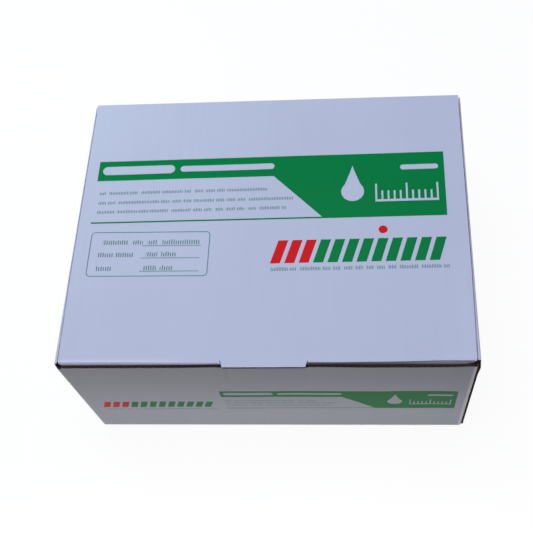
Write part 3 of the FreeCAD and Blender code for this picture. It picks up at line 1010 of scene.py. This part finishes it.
def print_lid(recipe):
    """Print the top of the lid: the stepped field, fine rows, a ruled frame and a band of bars."""
    x = recipe.x
    risen = recipe.y - x * LID_RISE
    fallen = recipe.y + x * LID_FALL
    colour = print_field(recipe, x, risen)
    fine = fine_rows(recipe, x, risen, *LID_TEXT)
    fine = fine.at_least(fine_rows(recipe, x, risen, *LID_NOTE))
    fine = fine.at_least(fine_rows(recipe, x, fallen, *FRAME_ENTRIES))
    start, end = ENTRY_LINE_ENDS
    for row in ENTRY_LINES:
        fine = fine.at_least(block(x, fallen, (start, row - ENTRY_LINE_HALF),
                                   (end, row + ENTRY_LINE_HALF)))
    fine = fine.at_least(abs(pill(x, fallen, *FRAME)) < FRAME_LINE)
    colour = recipe.mix(fine * TEXT_STRENGTH, colour, TEXT_INK)
    band, number = bars(x, risen, *LID_BAND)
    dot = ((x - DOT_X) ** 2 + (risen + DOT_DROP) ** 2) < DOT_RADIUS_SQUARED
    ink = recipe.mix((number < RED_BARS).at_least(dot), GREEN_INK, RED_INK)
    printed = recipe.mix(band.at_least(dot), colour, ink)
    return recipe.mix(recipe.z > TOP - PRINT_DEPTH, WHITE_COAT, printed)


def print_front(recipe):
    """Print the front panel with the lid's design at two thirds of its size."""
    x = recipe.x
    z = recipe.z
    (field_left, _), (field_right, field_top) = FIELD
    scale = FRONT_FIELD_LENGTH / (field_right - field_left)
    right, top = FRONT_FIELD_HIGH
    colour = print_field(recipe, (x - right) / scale + field_right, (z - top) / scale + field_top)
    fine = fine_rows(recipe, x, z, *FRONT_TEXT)
    colour = recipe.mix(fine * TEXT_STRENGTH, colour, TEXT_INK)
    band, number = bars(x, z, *FRONT_BAND)
    ink = recipe.mix(number < RED_BARS, GREEN_INK, RED_INK)
    printed = recipe.mix(band, colour, ink)
    return recipe.mix(recipe.y < -HALF_DEPTH + PRINT_DEPTH, WHITE_COAT, printed)


def fold_shine(recipe):
    """Return how glossy the lid is: its coating is rubbed along the soft end of its front fold."""
    near = ((LID_FRONT + 3.0 - recipe.y) / 2.0).clamped()
    return near * ((-30.0 - recipe.x) / 45.0).clamped()


def brown_paper(name, colour, fibre_scale, roughness):
    """Make uncoated brown paper, with fibres and a mottled tone."""
    recipe = Recipe(name)
    mottle = recipe.cloud((1 / 9, 1 / 9, 1 / 9), detail=3.0)
    fibres = recipe.cloud((fibre_scale, fibre_scale / 6, fibre_scale), detail=3.0, roughness=0.7)
    shade = 0.78 + 0.3 * mottle + 0.16 * fibres
    return recipe.surface(
        Base_Color=recipe.toned(colour, shade), Roughness=roughness + 0.08 * mottle,
        Normal=recipe.bump(fibres * 0.6 + mottle * 0.4, PAPER_RELIEF), Specular_IOR_Level=0.2)


def make_materials():
    return {
        "white_board": coated_board("white_coated_board"),
        "stretched_board": coated_board("stretched_corner_board", shine=STRETCHED_SHINE),
        "lid_print": coated_board("lid_print_on_white", print_lid, fold_shine),
        "front_print": coated_board("front_print_on_white", print_front),
        "brown_liner": brown_paper("brown_liner", KRAFT, 1.2, 0.82),
        # Its colour holds painted shade of the flute hollows.
        "fluting_paper": brown_paper("fluting_paper", SHADED_FLUTING, 2.0, 0.9),
        # Its colour is partly painted shade.
        "brown_cut_edge": brown_paper("brown_liner_cut_edge_in_painted_shade", SHADED_BROWN_EDGE, 4.0, 0.9),
        # Its colour is partly painted shade.
        "white_cut_edge": brown_paper("white_liner_cut_edge_in_painted_shade", SHADED_WHITE_EDGE, 4.0, 0.8),
    }


# The studio, in metres. A lamp has its place, what it points at, its width and height, its power
# and its colour.
FLOOR_REACH = 3.0
FLOOR_BOUNCE = (0.2, 0.165, 0.1, 1)     # what the floor sends up at the carton
FLOOR_PAPER = (0.95, 0.95, 0.95, 1)     # and what is seen of it
FLOOR_GLOW = 0.92
WORLD_LIGHT, WORLD_STRENGTH = (1.0, 0.9, 0.75, 1), 0.01
WHITE = (1, 1, 1, 1)
LAMPS = {
    "overhead_softbox": ((-0.1, 0.02, 1.5), (-0.05, 0.0, 0.05), (1.4, 1.0), 21.65,
                         (0.93, 0.97, 1.15)),
    "rear_left_window": ((-0.25, 0.2, 0.22), (-0.06, 0.06, 0.09), (0.15, 0.15), 0.26,
                         (0.78, 1.08, 0.95)),
    "right_card": ((0.8, -0.1, 0.15), (0.1, -0.07, 0.05), (0.4, 0.3), 0.6, (1.0, 0.98, 0.96)),
    "left_card": ((-0.3, -0.25, 0.12), (-0.08, -0.078, 0.07), (0.1, 0.1), 0.085,
                  (1.1, 1.0, 0.85)),
    "low_front_card": ((0, -0.15, 0.012), (0, -0.078, 0.012), (0.28, 0.016), 0.039,
                       (1.0, 0.985, 0.97)),
}
LENS, SENSOR = 58.49, 36.0
SHIFT = (-0.0447, 0.0143)
CAMERA_PLACE = (46.2, -226.7, 461.5)    # in millimetres
CAMERA_RIGHT = (0.99651684, 0.02720029, -0.07883103)
CAMERA_DOWN = (-0.01272828, -0.88462191, -0.46613524)
CAMERA_AHEAD = (-0.08241468, 0.465515, -0.88119442)


def make_floor():
    """Make a white floor that still takes the carton's shadow."""
    mesh = bpy.data.meshes.new("floor")
    corners = rectangle(-FLOOR_REACH, FLOOR_REACH, -FLOOR_REACH, FLOOR_REACH)
    mesh.from_pydata([(x, y, 0) for x, y in corners], [], [(0, 1, 2, 3)])
    material = bpy.data.materials.new("white_floor")
    nodes = Nodes(material)
    rays = nodes.node("ShaderNodeLightPath", {}, {}, "Is Camera Ray")
    seen = (rays + rays.beside("Is Glossy Ray") + rays.beside("Is Transmission Ray")).at_most(1)
    tone = nodes.node("ShaderNodeMix", {"data_type": "RGBA"},
                      {"Factor": seen, 6: FLOOR_BOUNCE, 7: FLOOR_PAPER}, 2)
    paper = nodes.node("ShaderNodeBsdfDiffuse", {}, {"Color": tone})
    glow = nodes.node("ShaderNodeEmission", {}, {"Color": WHITE, "Strength": 1.0})
    mixed = nodes.node("ShaderNodeMixShader", {}, {"Fac": seen * FLOOR_GLOW, 1: paper, 2: glow})
    nodes.node("ShaderNodeOutputMaterial", {}, {"Surface": mixed})
    mesh.materials.append(material)
    floor = bpy.data.objects.new("floor", mesh)
    bpy.context.scene.collection.objects.link(floor)


def make_world():
    """Make a world that is white to look at and gives a faint warm light."""
    world = bpy.data.worlds.new("studio")
    nodes = Nodes(world)
    seen = nodes.node("ShaderNodeLightPath", {}, {}, "Is Camera Ray")
    light = nodes.node("ShaderNodeBackground", {},
                       {"Color": WORLD_LIGHT, "Strength": WORLD_STRENGTH})
    white = nodes.node("ShaderNodeBackground", {}, {"Color": WHITE})
    mixed = nodes.node("ShaderNodeMixShader", {}, {"Fac": seen, 1: light, 2: white})
    nodes.node("ShaderNodeOutputWorld", {}, {"Surface": mixed})
    bpy.context.scene.world = world


def add_softbox(name, place, aim, size, power, colour):
    """Hang a rectangular soft light that the camera doesn't see."""
    data = bpy.data.lights.new(name, "AREA")
    data.shape = "RECTANGLE"
    data.size, data.size_y = size
    data.energy = power
    data.color = colour
    lamp = bpy.data.objects.new(name, data)
    lamp.location = place
    lamp.rotation_euler = (Vector(aim) - Vector(place)).to_track_quat("-Z", "Y").to_euler()
    lamp.visible_camera = False
    bpy.context.scene.collection.objects.link(lamp)


def make_camera():
    """Stand the camera where the photograph was taken from."""
    data = bpy.data.cameras.new("camera")
    data.lens = LENS
    data.sensor_width = SENSOR
    data.shift_x, data.shift_y = SHIFT
    camera = bpy.data.objects.new("camera", data)
    turn = Matrix((Vector(CAMERA_RIGHT), -Vector(CAMERA_DOWN), -Vector(CAMERA_AHEAD))).transposed()
    camera.matrix_world = Matrix.Translation(Vector(CAMERA_PLACE) * MM) @ turn.to_4x4()
    bpy.context.scene.collection.objects.link(camera)
    bpy.context.scene.camera = camera


make_camera()
make_floor()
make_world()
for lamp_name, lamp_data in LAMPS.items():
    add_softbox(lamp_name, *lamp_data)

materials = make_materials()
tray_pieces = [
    make_front_to_back(materials),
    make_side("right_rolled_side_board", 1, materials, OUTER_END, RIGHT_RIM_END),
    make_side("left_rolled_side_board", -1, materials, LEFT_FRONT_END, LEFT_RIM_END),
]
tray_pieces += [make_corner_flap(*corner, materials) for corner in CORNERS]
for piece in tray_pieces:
    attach(piece, "tray")
    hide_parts("carton_tray")

lid = make_lid(materials)
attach(lid, "lid")
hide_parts("carton_lid")

crease = make_rear_crease(materials)
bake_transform(crease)

scene = bpy.context.scene
scene.view_settings.view_transform = "Standard"
